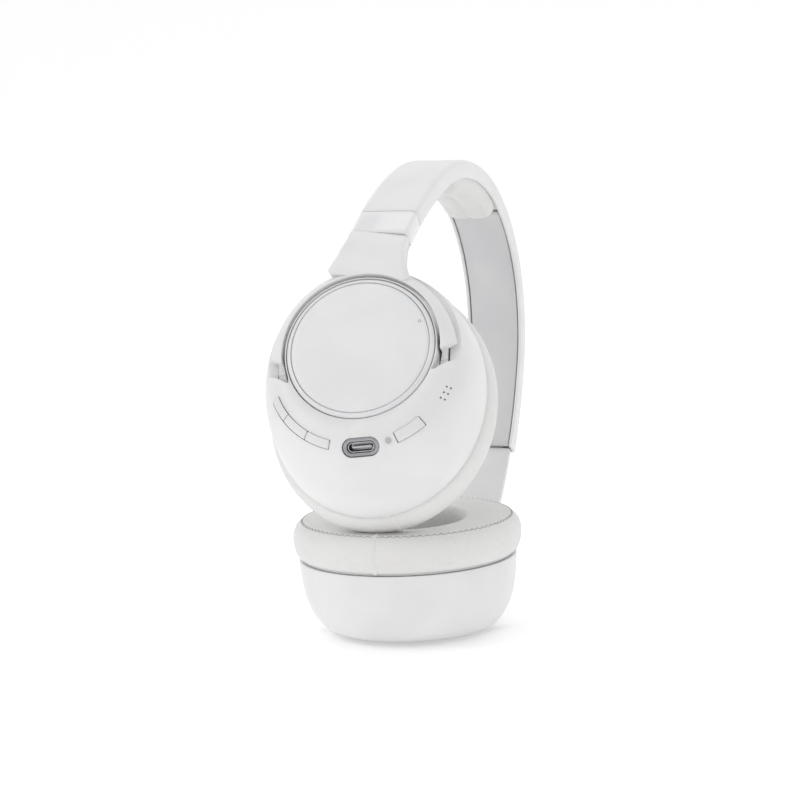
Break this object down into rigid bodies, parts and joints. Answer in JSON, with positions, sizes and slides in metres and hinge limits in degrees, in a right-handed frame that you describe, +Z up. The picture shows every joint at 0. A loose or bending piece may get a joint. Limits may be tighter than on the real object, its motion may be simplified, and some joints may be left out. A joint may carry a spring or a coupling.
{
  "type": "over-ear headphones",
  "caption": "White over-ear wireless headphones resting on one cup: curved band, extending arms, forked yokes that swivel and tilt, round-faced oval cups, cushions, rim keys and charge port.",
  "frame": {"origin": "middle of the lower cup's flat round face, which rests on the ground", "axes": "+Z up, away from the ground; X runs across the headband's width; +Y runs from the upper cup's face towards the back of the band's arch"},
  "size_m": [0.0757, 0.1605, 0.1603],
  "materials": {
    "white_shell": "satin",
    "satin_face": "satin",
    "face_trim": "smooth",
    "white_gloss": "polished",
    "arm_plastic": "satin",
    "leatherette": "fine grain",
    "panel_plastic": "satin",
    "scrim_fabric": "fine weave",
    "key_plastic": "satin",
    "grey_metal": "satin",
    "steel": "brushed",
    "magnet": "plated",
    "light_pipe": "polished",
    "board": "satin",
    "wire_jacket": "smooth",
    "battery_wrap": "smooth",
    "small_metal": "brushed",
    "diaphragm_film": "smooth",
    "inner_plastic": "satin"
  },
  "bodies": {
    "headband": {"headband_cover": "white_shell", "headband_inner_frame": "inner_plastic", "headband_spring_strip": "steel", "headband_cable": "wire_jacket", "head_cushion": "leatherette", "inner_panel_far": "panel_plastic", "inner_panel_near": "panel_plastic"},
    "slider_far": {"slider_arm_far": "arm_plastic", "slider_end_block_far": "inner_plastic", "gloss_strip_far": "white_gloss"},
    "slider_near": {"slider_arm_near": "arm_plastic", "slider_end_block_near": "inner_plastic", "gloss_strip_near": "white_gloss"},
    "yoke_far": {"yoke_far": "white_shell", "swivel_stem_far": "steel", "tilt_pins_far": "steel"},
    "yoke_near": {"yoke_near": "white_shell", "swivel_stem_near": "steel", "tilt_pins_near": "steel"},
    "cup_far": {"cup_shell_far": "white_shell", "face_disc_far": "satin_face", "face_ring_far": "face_trim", "baffle_far": "inner_plastic", "baffle_screws_far": "steel", "driver_basket_far": "inner_plastic", "driver_magnet_far": "magnet", "diaphragm_far": "diaphragm_film", "cushion_plate_far": "inner_plastic", "ear_scrim_far": "scrim_fabric", "ear_cushion_far": "leatherette", "battery": "battery_wrap"},
    "cup_near": {"cup_shell_near": "white_shell", "face_disc_near": "satin_face", "face_ring_near": "face_trim", "baffle_near": "inner_plastic", "baffle_screws_near": "steel", "driver_basket_near": "inner_plastic", "driver_magnet_near": "magnet", "diaphragm_near": "diaphragm_film", "cushion_plate_near": "inner_plastic", "ear_scrim_near": "scrim_fabric", "ear_cushion_near": "leatherette", "usb_port_bezel": "grey_metal", "usb_receptacle": "steel", "light_pipe": "light_pipe", "microphone": "small_metal", "main_board": "board", "key_switches": "small_metal"},
    "volume_up_key": {"volume_up_key": "key_plastic"},
    "play_key": {"play_key": "key_plastic"},
    "volume_down_key": {"volume_down_key": "key_plastic"},
    "mode_key": {"mode_key": "key_plastic"}
  },
  "joints": [
    {"name": "extend_far", "type": "hinge", "parent": "headband", "child": "slider_far", "pos_m": [0.00085, -0.02842, 0.11556], "axis": [-0.9997, 0.0228, -0.0012], "range_deg": [-18.19, 0]},
    {"name": "extend_near", "type": "hinge", "parent": "headband", "child": "slider_near", "pos_m": [0.00268, 0.04793, 0.03599], "axis": [0.9997, -0.0228, 0.0012], "range_deg": [0, 11]},
    {"name": "swivel_far", "type": "hinge", "parent": "slider_far", "child": "yoke_far", "pos_m": [0.00261, 0.04376, 0.01679], "axis": [0.0181, 0.8214, 0.5701], "range_deg": [-50, 7]},
    {"name": "swivel_near", "type": "hinge", "parent": "slider_near", "child": "yoke_near", "pos_m": [0.00103, -0.0192, 0.13825], "axis": [0.0181, 0.822, 0.5692], "range_deg": [-16, 84]},
    {"name": "tilt_far", "type": "hinge", "parent": "yoke_far", "child": "cup_far", "pos_m": [0.00114, -0.00538, 0.008], "axis": [0.9781, 0.2079, 0], "range_deg": [0, 20], "deforming": ["ear_cushion_far"]},
    {"name": "tilt_near", "type": "hinge", "parent": "yoke_near", "child": "cup_near", "pos_m": [0.00244, -0.04452, 0.09502], "axis": [-0.9852, -0.1507, -0.0821], "range_deg": [-11, 9], "deforming": ["ear_cushion_near"]},
    {"name": "press_volume_up_key", "type": "slide", "parent": "cup_near", "child": "volume_up_key", "axis": [-0.0877, 0.8532, -0.5142], "range_m": [0, 0.0006], "stiffness_N_per_m": 900},
    {"name": "press_play_key", "type": "slide", "parent": "cup_near", "child": "play_key", "axis": [-0.0877, 0.8532, -0.5142], "range_m": [0, 0.0006], "stiffness_N_per_m": 900},
    {"name": "press_volume_down_key", "type": "slide", "parent": "cup_near", "child": "volume_down_key", "axis": [-0.0877, 0.8532, -0.5142], "range_m": [0, 0.0006], "stiffness_N_per_m": 900},
    {"name": "press_mode_key", "type": "slide", "parent": "cup_near", "child": "mode_key", "axis": [-0.0877, 0.8532, -0.5142], "range_m": [0, 0.0006], "stiffness_N_per_m": 900}
  ]
}
